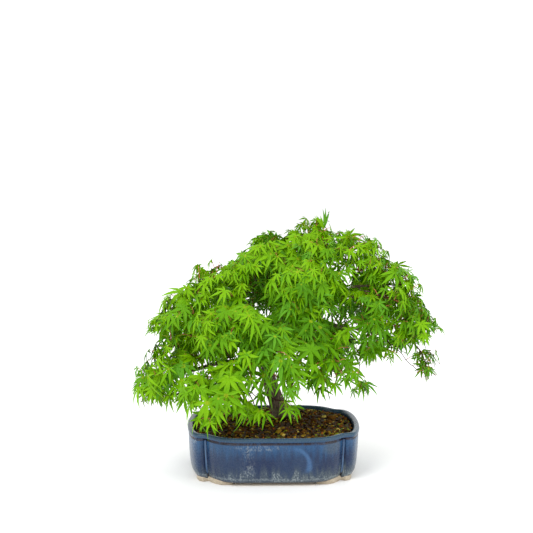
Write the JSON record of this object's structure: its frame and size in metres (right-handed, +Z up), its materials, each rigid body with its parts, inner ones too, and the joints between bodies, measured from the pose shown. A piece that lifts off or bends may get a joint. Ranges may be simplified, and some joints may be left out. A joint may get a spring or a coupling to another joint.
{
  "type": "bonsai maple tree in a pot",
  "caption": "Small broadleaf bonsai tree with a leaning trunk, spreading boughs and layered leafy masses, in a lobed oblong glazed pot with corner feet.",
  "frame": {"origin": "under the middle of the overall box, on the surface the pot's feet stand on", "axes": "+Z up, +X to the right of the front view along the pot's long side, -Y towards the front"},
  "size_m": [0.4394, 0.297, 0.3779],
  "materials": {
    "glaze": "glossy denim blue glaze, lighter at the lip and in streaks, greyer with pale mineral bloom near the foot",
    "clay": "unglazed beige stoneware",
    "soil": "matt dark brown potting mix with tan and ochre grains",
    "bark": "fine grey-brown bark, rough",
    "leaves": "thin fresh green leaves, soft sheen"
  },
  "bodies": {
    "root": {"bough_back": "bark", "bough_back_left": "bark", "bough_back_low_left": "bark", "bough_back_low_right": "bark", "bough_back_right": "bark", "bough_centre_left": "bark", "bough_front": "bark", "bough_low_front_left": "bark", "bough_low_left": "bark", "bough_mid_left": "bark", "bough_right_low": "bark", "bough_right_mid": "bark", "bough_right_upper": "bark", "bough_shoulder_left": "bark", "bough_top_left": "bark", "bough_top_right": "bark", "foliage_apex": "leaves", "foliage_apex_shoot": "leaves", "foliage_back": "leaves", "foliage_back_high_left": "leaves", "foliage_back_left": "leaves", "foliage_back_low_left": "leaves", "foliage_back_low_right": "leaves", "foliage_back_right": "leaves", "foliage_back_top": "leaves", "foliage_centre": "leaves", "foliage_centre_left": "leaves", "foliage_front": "leaves", "foliage_front_high": "leaves", "foliage_left_inner": "leaves", "foliage_low_front": "leaves", "foliage_low_front_left": "leaves", "foliage_low_left": "leaves", "foliage_mid_left": "leaves", "foliage_right": "leaves", "foliage_right_drop": "leaves", "foliage_right_low": "leaves", "foliage_right_mid": "leaves", "foliage_right_tip": "leaves", "foliage_right_upper": "leaves", "foliage_shoulder_left": "leaves", "foliage_top_left": "leaves", "foliage_top_right": "leaves", "foot_back_left": "clay", "foot_back_right": "clay", "foot_front_left": "clay", "foot_front_right": "clay", "pot": "glaze", "soil": "soil", "trunk": "bark"}
  },
  "joints": []
}
